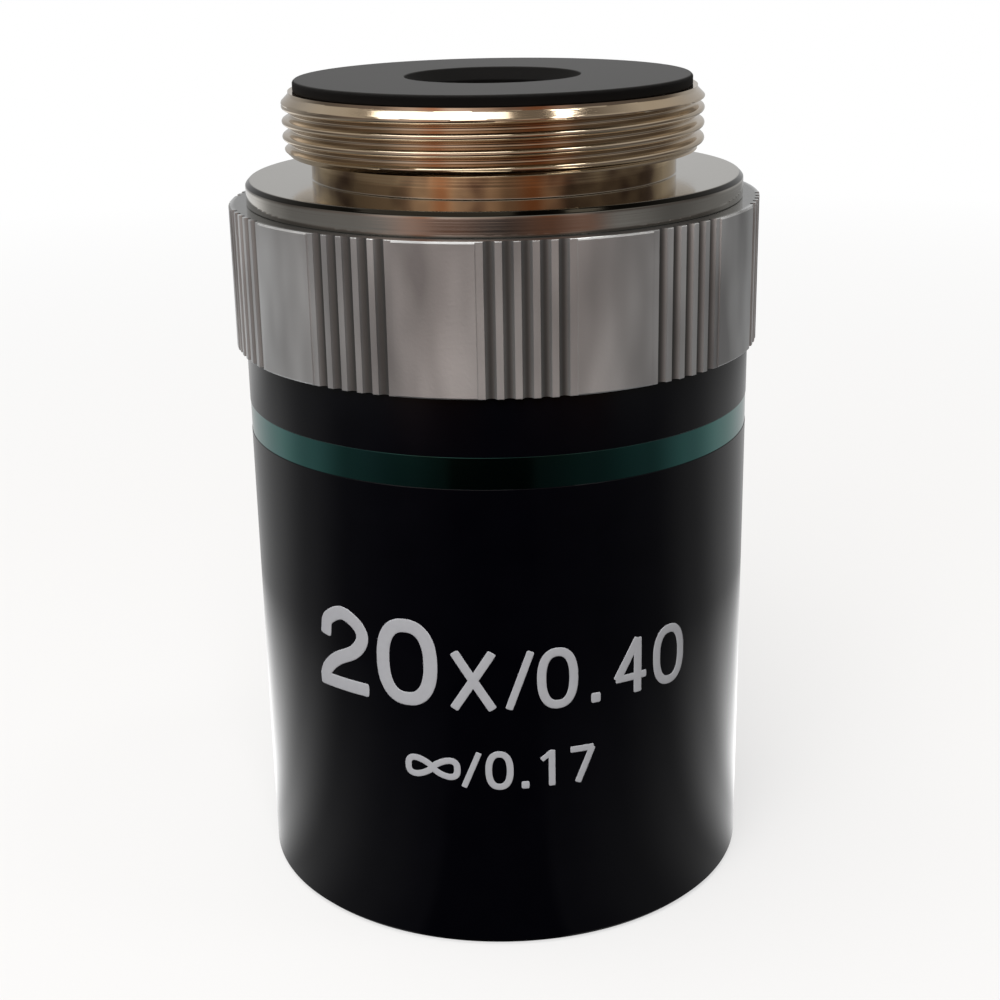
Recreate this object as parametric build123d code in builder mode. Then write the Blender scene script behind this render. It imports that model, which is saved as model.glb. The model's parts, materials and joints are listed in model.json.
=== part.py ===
"""Infinity microscope objective, 20x, numerical aperture 0.40, long working distance.

Millimetres. The optical axis is Z, the nose rests on Z = 0 and the mounting thread is at the top.
The objective is turned work: a threaded mount hangs a tube of lens cells inside a black barrel, and
a fluted grip ring is clamped between the mount's flange and the barrel. Screw threads, inside and
out, are drawn as plain cylinders at their larger diameter.
"""
from build123d import *
import os
from math import copysign, radians, sqrt, tan

# Lengths along the axis: the shoulder stands the parfocal length from the specimen
parfocal_length = 45.0
working_distance = 9.64
flange_thickness = 1.11
ring_height = 6.85
neck_length = 1.13
thread_length = 2.94
stop_proud = 0.51

# Mount: radial steps outwards and inwards from the mounting thread
thread_diameter = 20.2
neck_undercut = 1.3
neck_wall = 1.2
seat_width = 1.8
spigot_wall = 1.2
flange_ledge = 1.4
thread_lead = 0.3
thread_runout = 0.15
flange_bevel = 0.12
tube_seat_depth = 2.2

# Grip ring: pads of five flutes with smooth lands between them
ring_proud = 0.45
ring_top_bevel = 0.12
ring_bottom_bevel = 0.2
pad_count = 10
pad_turn = -84.1
pad_half_angle = 9.8
pad_relief = 0.06
flutes_per_pad = 5
flute_step = 3.6
flute_width = 0.5
flute_depth = 0.22

# Barrel and its inlaid colour band
barrel_wall = 1.8
barrel_thread_length = 5.4
barrel_thread_relief = 0.5
barrel_bore_step = 0.6
barrel_edge_bevel = 0.25
nose_wall = 1.4
nose_gap = 0.3
band_drop = 2.75
band_width = 1.48
band_depth = 0.2
band_sink = 0.02

# Rear stop: the black disc that limits the light leaving the objective
stop_step = 0.57
stop_hole_diameter = 7.35
stop_hole_bevel = 0.57
stop_edge_bevel = 0.1
stop_spigot_length = 1.6

# Lens tube, the collar that seats it, its shim and its lock ring
shim_thickness = 0.25
shim_land = 0.3
collar_length = 4.0
collar_step = 0.6
tube_wall = 1.1
lock_ring_height = 2.0
retainer_height = 1.0
retainer_inset = 0.4
retainer_wall = 2.2
spanner_slot_width = 1.0
spanner_slot_depth = 0.5

# Cells: a lip at the front of each carries its lens, and a rim stands past the glass
front_ledge = 0.8
front_recess = 0.3
front_lip = 0.6
front_cell_wall = 1.1
cell_lip = 0.7
cell_rim = 0.2
lip_width = 0.6
wide_cell_wall = 1.4
fourth_cell_wall = 2.1
rear_cell_wall = 2.9
first_spacer_height = 0.5
second_spacer_height = 0.6
spacer_wall = 1.2

# Lenses: a positive curve bulges towards the nose, a negative one towards the thread
front_lens_front_curve = -25.0
front_lens_rear_curve = -12.0
front_lens_thickness = 2.8
second_lens_front_curve = -45.0
second_lens_rear_curve = -15.0
second_lens_thickness = 2.2
third_crown_front_curve = 30.0
third_joint_curve = -20.0
third_flint_rear_curve = -70.0
third_crown_thickness = 3.2
third_flint_thickness = 1.0
fourth_flint_front_curve = 40.0
fourth_joint_curve = 18.0
fourth_crown_rear_curve = -32.0
fourth_flint_thickness = 1.0
fourth_crown_thickness = 2.8
rear_crown_front_curve = 30.0
rear_joint_curve = -30.0
rear_flint_rear_curve = 12.0
rear_crown_thickness = 1.9
rear_flint_thickness = 0.8

# Clearances between turned pieces, and between glass and cell
fit = 0.02
nose_fit = 0.15

# Radii, worked outwards from the thread
thread_radius = thread_diameter / 2
neck_radius = thread_radius - neck_undercut
rear_bore_radius = neck_radius - neck_wall
tube_bore_radius = rear_bore_radius + seat_width
spigot_radius = tube_bore_radius + spigot_wall
flange_radius = spigot_radius + flange_ledge
barrel_radius = spigot_radius + barrel_wall
ring_radius = barrel_radius + ring_proud
stop_radius = thread_radius - stop_step

# Radii, worked inwards through the lens tube
collar_radius = tube_bore_radius - fit
tube_radius = collar_radius - collar_step
stack_bore_radius = tube_radius - tube_wall
cell_radius = stack_bore_radius - fit
front_cell_radius = stack_bore_radius - front_ledge
front_lens_radius = front_cell_radius - front_cell_wall
wide_lens_radius = cell_radius - wide_cell_wall
fourth_lens_radius = cell_radius - fourth_cell_wall
rear_lens_radius = cell_radius - rear_cell_wall
nose_opening_radius = front_cell_radius + nose_fit

# Heights of the mount, ring, barrel and stop
shoulder = parfocal_length - working_distance
ring_top = shoulder - flange_thickness
barrel_top = ring_top - ring_height
neck_top = shoulder + neck_length
mount_top = neck_top + thread_length
stop_top = mount_top + stop_proud
band_top = barrel_top - band_drop
band_bottom = band_top - band_width
spigot_bottom = barrel_top - barrel_thread_length
tube_seat = shoulder - tube_seat_depth
tube_top = tube_seat - shim_thickness
collar_bottom = tube_top - collar_length
tube_bottom = nose_wall + nose_gap


def sag(curve, radius):
    """Rise of a spherical face, away from the nose, at a radius from the axis."""
    return curve - copysign(sqrt(curve**2 - radius**2), curve)


def seated_vertex(lip_top, curve, lens_radius):
    """Height of a lens's front vertex when its front face rests on the lip.

    A face that bulges forwards rests on the lip's inner corner, and a hollow one on its own edge.
    """
    return lip_top - min(sag(curve, lens_radius - lip_width), sag(curve, lens_radius))


def cell_top_over(vertex, curve, lens_radius):
    """Height of a cell's rear face, one rim past the highest glass in it."""
    return max(vertex, vertex + sag(curve, lens_radius)) + cell_rim


def rims(piece, radius, height):
    """Round edges of a turned piece at one radius and height."""
    return (
        piece.edges()
        .filter_by(GeomType.CIRCLE)
        .filter_by(lambda edge: abs(edge.radius - radius) < 0.001)
        .filter_by(lambda edge: abs(edge.center().Z - height) < 0.001)
    )


def make_lens(name, vertex, thickness, front_curve, rear_curve, radius):
    """One lens, turned from its half section: two spherical faces and a ground edge."""
    rear_vertex = vertex + thickness
    with BuildPart() as lens:
        with BuildSketch(Plane.XZ):
            with BuildLine():
                front = ThreePointArc(
                    (0, vertex),
                    (radius / 2, vertex + sag(front_curve, radius / 2)),
                    (radius, vertex + sag(front_curve, radius)),
                )
                rear = ThreePointArc(
                    (0, rear_vertex),
                    (radius / 2, rear_vertex + sag(rear_curve, radius / 2)),
                    (radius, rear_vertex + sag(rear_curve, radius)),
                )
                Line(front @ 1, rear @ 1)
                Line(front @ 0, rear @ 0)
            make_face()
        revolve(axis=Axis.Z)
    lens.part.label = name
    export_step(lens.part, f"parts/{name}.step")


def make_cell(name, bottom, top, outer_radius, lens_radius, lip):
    """A turned cell: a plain outside, a pocket for the glass, and a lip in front of it."""
    with BuildPart() as cell:
        with BuildSketch(Plane.XY.offset(bottom)):
            Circle(outer_radius)
            Circle(lens_radius - lip_width, mode=Mode.SUBTRACT)
        extrude(amount=top - bottom)
        with BuildSketch(Plane.XY.offset(bottom + lip)):
            Circle(lens_radius + fit)
        extrude(amount=top - bottom - lip, mode=Mode.SUBTRACT)
    cell.part.label = name
    export_step(cell.part, f"parts/{name}.step")


def make_ring(name, bottom, top, outer_radius, inner_radius, slots=0):
    """A plain turned ring, with spanner slots across its front face if it screws in."""
    with BuildPart() as ring:
        with BuildSketch(Plane.XY.offset(bottom)):
            Circle(outer_radius)
            Circle(inner_radius, mode=Mode.SUBTRACT)
        extrude(amount=top - bottom)
        if slots:
            with BuildSketch(Plane.XY.offset(bottom)):
                with PolarLocations((outer_radius + inner_radius) / 2, slots):
                    Rectangle(outer_radius, spanner_slot_width)
            extrude(amount=spanner_slot_depth, mode=Mode.SUBTRACT)
    ring.part.label = name
    export_step(ring.part, f"parts/{name}.step")


os.makedirs("parts", exist_ok=True)

# Threaded mount: thread, neck, flange, and the spigot that carries everything else
with BuildPart() as thread_mount:
    with BuildSketch(Plane.XZ):
        with BuildLine():
            Polyline(
                (rear_bore_radius, mount_top),
                (thread_radius, mount_top),
                (thread_radius, neck_top),
                (neck_radius, neck_top),
                (neck_radius, shoulder),
                (flange_radius, shoulder),
                (flange_radius, ring_top),
                (spigot_radius, ring_top),
                (spigot_radius, spigot_bottom),
                (tube_bore_radius, spigot_bottom),
                (tube_bore_radius, tube_seat),
                (rear_bore_radius, tube_seat),
                close=True,
            )
        make_face()
    revolve(axis=Axis.Z)
    chamfer(rims(thread_mount, thread_radius, mount_top), length=thread_lead)
    chamfer(rims(thread_mount, thread_radius, neck_top), length=thread_runout)
    chamfer(rims(thread_mount, flange_radius, shoulder), length=flange_bevel)
thread_mount.part.label = "thread_mount"
export_step(thread_mount.part, "parts/thread_mount.step")

# Grip ring: each pad is turned down a little, then fluted with a round cutter
pad_radius = ring_radius - pad_relief
pad_reach = 2 * ring_radius
pad_half_width = pad_reach * tan(radians(pad_half_angle))
flute_radius = (flute_width**2 / 4 + flute_depth**2) / (2 * flute_depth)
with BuildPart() as grip_ring:
    with BuildSketch(Plane.XY.offset(barrel_top)):
        Circle(ring_radius)
        Circle(spigot_radius + fit, mode=Mode.SUBTRACT)
    extrude(amount=ring_height)
    chamfer(rims(grip_ring, ring_radius, ring_top), length=ring_top_bevel)
    chamfer(rims(grip_ring, ring_radius, barrel_top), length=ring_bottom_bevel)
    with BuildSketch(Plane.XY.offset(barrel_top)):
        with PolarLocations(0, pad_count, start_angle=pad_turn):
            Polygon((0, 0), (pad_reach, -pad_half_width), (pad_reach, pad_half_width), align=None)
        Circle(pad_radius, mode=Mode.SUBTRACT)
    extrude(amount=ring_height, mode=Mode.SUBTRACT)
    with BuildSketch(Plane.XY.offset(barrel_top)):
        with PolarLocations(0, pad_count, start_angle=pad_turn):
            with PolarLocations(
                pad_radius - flute_depth + flute_radius,
                flutes_per_pad,
                start_angle=-flute_step * (flutes_per_pad - 1) / 2,
                angular_range=flute_step * (flutes_per_pad - 1),
                endpoint=True,
            ):
                Circle(flute_radius)
    extrude(amount=ring_height, mode=Mode.SUBTRACT)
grip_ring.part.label = "grip_ring"
export_step(grip_ring.part, "parts/grip_ring.step")

# Barrel: a black cover tube that screws up the spigot and clamps the ring to the flange
with BuildPart() as outer_barrel:
    Cylinder(barrel_radius, barrel_top, align=(Align.CENTER, Align.CENTER, Align.MIN))
    with BuildSketch(Plane.XY):
        Circle(nose_opening_radius)
    extrude(amount=nose_wall, mode=Mode.SUBTRACT)
    with BuildSketch(Plane.XY.offset(nose_wall)):
        Circle(spigot_radius - barrel_bore_step)
    extrude(amount=barrel_top - nose_wall, mode=Mode.SUBTRACT)
    with BuildSketch(Plane.XY.offset(spigot_bottom - barrel_thread_relief)):
        Circle(spigot_radius + fit)
    extrude(amount=barrel_thread_length + barrel_thread_relief, mode=Mode.SUBTRACT)
    with BuildSketch(Plane.XY.offset(band_bottom)):
        Circle(barrel_radius)
        Circle(barrel_radius - band_depth, mode=Mode.SUBTRACT)
    extrude(amount=band_width, mode=Mode.SUBTRACT)
    chamfer(rims(outer_barrel, barrel_radius, 0), length=barrel_edge_bevel)
outer_barrel.part.label = "outer_barrel"
export_step(outer_barrel.part, "parts/outer_barrel.step")

# Colour band: enamel laid in the barrel's groove and polished just below its surface
make_ring(
    "green_band",
    band_bottom,
    band_top,
    barrel_radius - band_sink,
    barrel_radius - band_depth,
)

# Rear stop: a disc on the mount's end face, with a spigot in the bore and a bevelled hole
stop_hole_radius = stop_hole_diameter / 2
with BuildPart() as rear_stop:
    with BuildSketch(Plane.XY.offset(mount_top)):
        Circle(stop_radius)
    extrude(amount=stop_proud)
    with BuildSketch(Plane.XY.offset(mount_top)):
        Circle(rear_bore_radius - fit)
    extrude(amount=-stop_spigot_length)
    with BuildSketch(Plane.XY.offset(mount_top - stop_spigot_length)):
        Circle(stop_hole_radius)
    extrude(amount=stop_spigot_length + stop_proud, mode=Mode.SUBTRACT)
    chamfer(rims(rear_stop, stop_hole_radius, stop_top), length=stop_hole_bevel)
    chamfer(rims(rear_stop, stop_radius, stop_top), length=stop_edge_bevel)
rear_stop.part.label = "rear_stop"
export_step(rear_stop.part, "parts/rear_stop.step")

# Front cell and lens: they screw into the tube's nose and show through the barrel's opening
front_lip_top = front_recess + front_lip
front_vertex = seated_vertex(front_lip_top, front_lens_front_curve, front_lens_radius)
front_cell_top = cell_top_over(
    front_vertex + front_lens_thickness, front_lens_rear_curve, front_lens_radius
)
make_cell(
    "front_cell", front_recess, front_cell_top, front_cell_radius, front_lens_radius, front_lip
)
make_lens(
    "front_lens",
    front_vertex,
    front_lens_thickness,
    front_lens_front_curve,
    front_lens_rear_curve,
    front_lens_radius,
)

# Second cell and lens: the cell stands on the ledge inside the tube
second_bottom = front_cell_top
second_vertex = seated_vertex(second_bottom + cell_lip, second_lens_front_curve, wide_lens_radius)
second_top = cell_top_over(
    second_vertex + second_lens_thickness, second_lens_rear_curve, wide_lens_radius
)
make_cell("second_cell", second_bottom, second_top, cell_radius, wide_lens_radius, cell_lip)
make_lens(
    "second_lens",
    second_vertex,
    second_lens_thickness,
    second_lens_front_curve,
    second_lens_rear_curve,
    wide_lens_radius,
)
make_ring(
    "first_spacer",
    second_top,
    second_top + first_spacer_height,
    cell_radius,
    cell_radius - spacer_wall,
)

# Third cell: a cemented pair with its crown glass in front
third_bottom = second_top + first_spacer_height
third_vertex = seated_vertex(third_bottom + cell_lip, third_crown_front_curve, wide_lens_radius)
third_joint = third_vertex + third_crown_thickness
third_top = cell_top_over(
    third_joint + third_flint_thickness, third_flint_rear_curve, wide_lens_radius
)
make_cell("third_cell", third_bottom, third_top, cell_radius, wide_lens_radius, cell_lip)
make_lens(
    "third_crown",
    third_vertex,
    third_crown_thickness,
    third_crown_front_curve,
    third_joint_curve,
    wide_lens_radius,
)
make_lens(
    "third_flint",
    third_joint,
    third_flint_thickness,
    third_joint_curve,
    third_flint_rear_curve,
    wide_lens_radius,
)
make_ring(
    "second_spacer",
    third_top,
    third_top + second_spacer_height,
    cell_radius,
    cell_radius - spacer_wall,
)

# Fourth cell: a cemented pair with its flint glass in front
fourth_bottom = third_top + second_spacer_height
fourth_vertex = seated_vertex(fourth_bottom + cell_lip, fourth_flint_front_curve, fourth_lens_radius)
fourth_joint = fourth_vertex + fourth_flint_thickness
fourth_top = cell_top_over(
    fourth_joint + fourth_crown_thickness, fourth_crown_rear_curve, fourth_lens_radius
)
make_cell("fourth_cell", fourth_bottom, fourth_top, cell_radius, fourth_lens_radius, cell_lip)
make_lens(
    "fourth_flint",
    fourth_vertex,
    fourth_flint_thickness,
    fourth_flint_front_curve,
    fourth_joint_curve,
    fourth_lens_radius,
)
make_lens(
    "fourth_crown",
    fourth_joint,
    fourth_crown_thickness,
    fourth_joint_curve,
    fourth_crown_rear_curve,
    fourth_lens_radius,
)

# Rear cell: it hangs from the retaining ring, so its height is worked out before its place
rear_vertex_above_bottom = seated_vertex(cell_lip, rear_crown_front_curve, rear_lens_radius)
rear_glass_thickness = rear_crown_thickness + rear_flint_thickness
rear_cell_height = cell_top_over(
    rear_vertex_above_bottom + rear_glass_thickness, rear_flint_rear_curve, rear_lens_radius
)
retainer_top = tube_top - retainer_inset
rear_top = retainer_top - retainer_height
rear_bottom = rear_top - rear_cell_height
rear_vertex = rear_bottom + rear_vertex_above_bottom
make_cell("rear_cell", rear_bottom, rear_top, cell_radius, rear_lens_radius, cell_lip)
make_lens(
    "rear_crown",
    rear_vertex,
    rear_crown_thickness,
    rear_crown_front_curve,
    rear_joint_curve,
    rear_lens_radius,
)
make_lens(
    "rear_flint",
    rear_vertex + rear_crown_thickness,
    rear_flint_thickness,
    rear_joint_curve,
    rear_flint_rear_curve,
    rear_lens_radius,
)
make_ring("long_spacer", fourth_top, rear_bottom, cell_radius, cell_radius - spacer_wall)
make_ring(
    "retaining_ring",
    rear_top,
    retainer_top,
    cell_radius,
    cell_radius - retainer_wall,
)

# Lens tube: hangs in the mount by its collar, with a shim above that sets the parfocal length
with BuildPart() as lens_tube:
    with BuildSketch(Plane.XY.offset(tube_bottom)):
        Circle(tube_radius)
    extrude(amount=tube_top - tube_bottom)
    with BuildSketch(Plane.XY.offset(collar_bottom)):
        Circle(collar_radius)
    extrude(amount=collar_length)
    with BuildSketch(Plane.XY.offset(tube_bottom)):
        Circle(front_cell_radius + fit)
    extrude(amount=front_cell_top - tube_bottom, mode=Mode.SUBTRACT)
    with BuildSketch(Plane.XY.offset(front_cell_top)):
        Circle(stack_bore_radius)
    extrude(amount=tube_top - front_cell_top, mode=Mode.SUBTRACT)
lens_tube.part.label = "lens_tube"
export_step(lens_tube.part, "parts/lens_tube.step")

make_ring("parfocal_shim", tube_top, tube_seat, collar_radius, rear_bore_radius + shim_land)
make_ring(
    "tube_lock_ring",
    collar_bottom - lock_ring_height,
    collar_bottom,
    collar_radius,
    tube_radius + fit,
    slots=2,
)
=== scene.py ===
# %% [markdown]
# # A microscope objective, dressed for its picture
#
# The objective stands on its nose. It is turned metal: a plated brass mount with a fine thread, a satin grip
# ring, a black lacquered barrel with a green line, and a flat black stop in its rear end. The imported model
# gives every piece its place. This lesson gives each visible piece a fine surface and each finish a material.

# %% Load the frame
import json

import bmesh
import bpy
import numpy as np
from mathutils import Matrix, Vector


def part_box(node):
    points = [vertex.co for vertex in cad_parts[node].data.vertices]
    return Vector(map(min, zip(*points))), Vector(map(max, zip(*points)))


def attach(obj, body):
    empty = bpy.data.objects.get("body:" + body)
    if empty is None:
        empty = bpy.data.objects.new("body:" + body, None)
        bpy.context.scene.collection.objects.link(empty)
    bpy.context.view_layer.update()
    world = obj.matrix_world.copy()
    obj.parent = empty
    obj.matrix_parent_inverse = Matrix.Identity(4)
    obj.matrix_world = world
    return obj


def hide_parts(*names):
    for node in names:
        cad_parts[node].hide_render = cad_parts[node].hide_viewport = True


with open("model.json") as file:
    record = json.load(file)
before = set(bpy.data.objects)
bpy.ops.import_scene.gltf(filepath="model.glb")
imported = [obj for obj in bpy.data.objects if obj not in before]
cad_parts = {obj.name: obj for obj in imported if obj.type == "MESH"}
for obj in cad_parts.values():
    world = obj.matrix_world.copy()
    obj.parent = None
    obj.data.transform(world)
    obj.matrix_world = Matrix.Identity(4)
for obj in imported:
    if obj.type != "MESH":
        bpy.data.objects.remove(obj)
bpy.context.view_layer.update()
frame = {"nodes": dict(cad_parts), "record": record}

# %% [markdown]
# ## Sizes
#
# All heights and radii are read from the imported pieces, in millimetres. Each piece is round about Z, so half
# its width is its radius. What a box can't tell, such as the bore behind the thread, is a named value.


# %% Sizes from the frame
def heights(node):
    """Lowest and highest point of a node, in millimetres."""
    low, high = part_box(node)
    return 1000 * low[2], 1000 * high[2]


def radius(node):
    """Largest radius of a round node, in millimetres: half its width along Y."""
    low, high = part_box(node)
    return 500 * (high[1] - low[1])


spigot_bottom, mount_top = heights("thread_mount")
ring_bottom, ring_top = heights("grip_ring")
band_bottom, band_top = heights("green_band")
stop_top = heights("rear_stop")[1]
barrel_radius = radius("outer_barrel")
band_radius = radius("green_band")
stop_radius = radius("rear_stop")
flange_radius = radius("thread_mount")
shoulder = 35.36
neck_top = 36.49
print("ring", round(ring_bottom, 2), "to", round(ring_top, 2), "barrel radius", round(barrel_radius, 2))

# %% [markdown]
# ## Surfaces from grids
#
# Every turned piece is a grid of points that wraps round in both directions, like a doughnut: one way round
# the axis, the other way round the section. Numpy works out all the points at once. Doubled points, where
# rows run together, are welded, and the faces are turned outwards by the sign of the volume they enclose.


# %% Mesh helpers
def weld(piece, distance=1e-8):
    """Merge points that lie on each other, so that seams and poles are closed."""
    shape = bmesh.new()
    shape.from_mesh(piece.data)
    bmesh.ops.remove_doubles(shape, verts=shape.verts, dist=distance)
    shape.to_mesh(piece.data)
    shape.free()


def enclosed(points, quads):
    """Volume inside quads, with its sign: a sum of the tetrahedra from the origin to each half quad."""
    a, b, c, d = (points[quads[:, k]] for k in range(4))
    return (np.cross(a, b) * c + np.cross(a, c) * d).sum() / 6


def surface(name, grid, meets_itself=False, sharp_degrees=35.0):
    """Closed mesh through grid[i, j], in millimetres: i wraps round the section and j round the axis.

    Where the last column already lies on the first, it meets itself, and no faces are laid between the two.
    """
    rows, columns = grid.shape[:2]
    points = grid.reshape(-1, 3) / 1000
    index = np.arange(rows * columns).reshape(rows, columns)
    up, right = np.roll(index, -1, 0), np.roll(index, -1, 1)
    quads = np.stack([index, right, np.roll(up, -1, 1), up], -1)
    quads = (quads[:, :-1] if meets_itself else quads).reshape(-1, 4)
    if enclosed(points, quads) < 0:
        quads = quads[:, ::-1]
    mesh = bpy.data.meshes.new(name)
    mesh.from_pydata(points, [], quads)
    piece = bpy.data.objects.new(name, mesh)
    bpy.context.scene.collection.objects.link(piece)
    weld(piece)
    mesh.shade_smooth()
    mesh.set_sharp_from_angle(angle=np.radians(sharp_degrees))
    mesh.update()
    print(name, len(mesh.polygons), "faces")
    return piece


# %% [markdown]
# ## Turned sections
#
# A lathe leaves no dead sharp corner: the turner breaks each one with a touch of the tool, and that tiny
# round is what catches the light. A bevel modifier could round them, but it would also round the seams of the
# thread, so each corner of a section becomes a short curve here. One more point on each side of the curve
# keeps the bend from spreading over the flats.


# %% Turned pieces
edge_break = 0.06
edge_support = 0.03
curve_points = 5
around = 360
print("columns round the axis:", around)


def broken_edges(corners, size=edge_break):
    """Closed section with its corners rounded: each is a quadratic curve between points on its two sides.

    A curve takes at most 0.4 of the shorter side, and its support points at most 0.3 of what it takes.
    """
    corners = np.array(corners, float)
    before, after = np.roll(corners, 1, 0) - corners, np.roll(corners, -1, 0) - corners
    reach_before = np.linalg.norm(before, axis=1, keepdims=True)
    reach_after = np.linalg.norm(after, axis=1, keepdims=True)
    cut = np.minimum(size, 0.4 * np.minimum(reach_before, reach_after))
    support = np.minimum(edge_support, 0.3 * cut)
    start, end = corners + before / reach_before * cut, corners + after / reach_after * cut
    t = np.linspace(0, 1, curve_points)[None, :, None]
    arcs = (1 - t) ** 2 * start[:, None] + 2 * t * (1 - t) * corners[:, None] + t**2 * end[:, None]
    first = (start + before / reach_before * support)[:, None]
    last = (end + after / reach_after * support)[:, None]
    return np.concatenate([first, arcs, last], 1).reshape(-1, 2)


def turn(section, columns=around):
    """Grid of a section of (radius, height) carried round the axis."""
    angle = np.linspace(0, 2 * np.pi, columns, endpoint=False)
    r, z = section[:, :1], section[:, 1:]
    return np.stack([r * np.cos(angle), r * np.sin(angle), z + 0 * angle], -1)


def dress(piece, material, slot, *nodes):
    """Give a finished piece its material, let it ride, and let it stand for its CAD nodes; slot is not used."""
    piece.data.materials.clear()
    piece.data.materials.append(material)
    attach(piece, "root")
    if nodes:
        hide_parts(*nodes)
    return piece


# %% [markdown]
# ## Colours and nodes
#
# Colours are written as sRGB hex, the way a paint maker gives them, and one function turns them to the
# linear values that the shader works with. A second small function adds a node with its settings and links.
# Two more build what every turned piece needs: the distance from the axis with the height, and a pattern of
# fine rings.


# %% Material helpers
def srgb(code):
    """Linear colour of an sRGB hex string: the screen's curve is undone for each channel."""
    value = np.array([int(code[k : k + 2], 16) for k in (1, 3, 5)]) / 255
    linear = np.where(value <= 0.04045, value / 12.92, ((value + 0.055) / 1.055) ** 2.4)
    return (*linear.tolist(), 1.0)


def add(tree, kind, inputs=None, **settings):
    """Add a node, set its properties, then set each input or link it where the value is a socket."""
    made = tree.nodes.new("ShaderNode" + kind)
    for name, value in settings.items():
        setattr(made, name, value)
    for name, value in (inputs or {}).items():
        if isinstance(value, bpy.types.NodeSocket):
            tree.links.new(value, made.inputs[name])
        else:
            made.inputs[name].default_value = value
    return made


def new_material(name):
    """Empty node material, ready for its nodes."""
    material = bpy.data.materials.new(name)
    material.use_nodes = True
    material.node_tree.nodes.clear()
    return material, material.node_tree


def finish_with(material, shader):
    """Link a shader to the material's output, and say how many nodes it took."""
    add(material.node_tree, "OutputMaterial", {"Surface": shader.outputs[0]})
    print(material.name, len(material.node_tree.nodes), "nodes")


# %% Turned patterns
def radius_and_height(tree):
    """Distance from the axis and height of the shaded point, in metres."""
    place = add(tree, "TexCoord").outputs["Object"]
    height = add(tree, "SeparateXYZ", {0: place}).outputs[2]
    flat = add(tree, "VectorMath", {0: place, 1: (1, 1, 0)}, operation="MULTIPLY")
    return add(tree, "VectorMath", {0: flat.outputs[0]}, operation="LENGTH").outputs["Value"], height


def ring_pattern(tree, size_mm, detail):
    """Noise that runs along radius and height but never round the axis, as a lathe tool leaves it."""
    reach, height = radius_and_height(tree)
    rings = add(tree, "CombineXYZ", {0: reach, 2: height}).outputs[0]
    noise = add(tree, "TexNoise", {"Vector": rings, "Scale": 1000 / size_mm, "Detail": detail})
    return noise.outputs["Fac"]


# A Mix node has sockets for each kind of value, and these are the places of those for colour.
mix_a, mix_b, mix_out = 6, 7, 2
print("mid grey is", round(srgb("#808080")[0], 3), "in linear light")

# %% [markdown]
# ## Plated brass
#
# The mount is turned from brass and plated. Nickel keeps the flange a cool silver, and the thin bright
# plating on the thread lets the brass through as champagne gold. The neck was turned but never polished, so
# it is darker and has stains. A dark line is painted on the flange's bevel: a painted reflection of a dark
# part of the room, which keeps the bevel dark where it would mirror the overhead lamp. The tool leaves fine
# rings, so the pattern runs only along the radius and the height, never round the axis. A real feed is
# 0.05 mm a turn; it is drawn at 0.12 mm so that it shows. One material holds all of these, since the height
# and the radius of a point say which colour lies there.

# %% Plating colours and sizes
gold = srgb("#dccfbc")
gold_worn = srgb("#c2aa8a")
neck_brass = srgb("#c8b08a")
neck_stain = srgb("#86705a")
nickel = srgb("#b6b2aa")
# painted reflection: the near black of the flange bevel's line stands for a dark part of the room
bevel_painted_reflection = srgb("#15130f")
tool_feed_mm = 0.12
cloud_mm = 3.85
stain_mm = 2.2
flange_bevel = 0.2
border = 0.02  # half the width of the line where one colour gives way to the next
print("tool feed", tool_feed_mm, "clouds", cloud_mm, "stains", stain_mm, "mm")

# %% Where each colour lies
plated_brass, tree = new_material("turned_plated_brass")
reach, height = radius_and_height(tree)
on_thread = add(tree, "MapRange", {
    "Value": height,
    "From Min": (neck_top - 3 * border) / 1000,
    "From Max": neck_top / 1000,
}).outputs[0]
above_flange = add(tree, "MapRange", {
    "Value": height,
    "From Min": (shoulder + border) / 1000,
    "From Max": (shoulder + 4 * border) / 1000,
}).outputs[0]
inside_rim = add(tree, "MapRange", {
    "Value": reach,
    "From Min": (flange_radius - flange_bevel - border) / 1000,
    "From Max": (flange_radius - flange_bevel + border) / 1000,
}).outputs[0]
over_side = add(tree, "MapRange", {
    "Value": height,
    "From Min": (shoulder - flange_bevel - border) / 1000,
    "From Max": (shoulder - flange_bevel + border) / 1000,
}).outputs[0]
# where the painted reflection lies: the bevel between the flange's side and its top
dark_reflection_on_bevel = add(tree, "Math", {0: inside_rim, 1: over_side}, operation="MULTIPLY").outputs[0]
print("flange colour below", shoulder, "thread colour above", neck_top)

# %% Plated brass
place = add(tree, "TexCoord").outputs["Object"]
feed = ring_pattern(tree, tool_feed_mm, 2.0)
cloud = add(tree, "TexNoise", {"Vector": place, "Scale": 1000 / cloud_mm, "Detail": 3.0}).outputs["Fac"]
stains = add(tree, "TexNoise", {"Vector": place, "Scale": 1000 / stain_mm, "Detail": 2.0}).outputs["Fac"]
stained = add(tree, "MapRange", {"Value": stains, "From Min": 0.48, "From Max": 0.68}).outputs[0]
thin = add(tree, "Mix", {0: cloud, mix_a: gold, mix_b: gold_worn}, data_type="RGBA").outputs[mix_out]
bare = add(tree, "Mix", {0: stained, mix_a: neck_brass, mix_b: neck_stain}, data_type="RGBA").outputs[mix_out]
brass = add(tree, "Mix", {0: on_thread, mix_a: bare, mix_b: thin}, data_type="RGBA").outputs[mix_out]
plate = add(tree, "Mix", {0: above_flange, mix_a: nickel, mix_b: brass}, data_type="RGBA").outputs[mix_out]
# the painted reflection is laid over the plating on the bevel
skin = add(tree, "Mix", {0: dark_reflection_on_bevel, mix_a: plate, mix_b: bevel_painted_reflection}, data_type="RGBA").outputs[mix_out]
sheen = add(tree, "MapRange", {"Value": cloud, "To Min": 0.06, "To Max": 0.15}).outputs[0]
lines = add(tree, "Bump", {"Height": feed, "Strength": 0.12, "Distance": 0.00002}).outputs[0]
shader = add(tree, "BsdfPrincipled", {"Base Color": skin, "Metallic": 1.0, "Roughness": sheen,
                                      "Normal": lines})
finish_with(plated_brass, shader)

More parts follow.
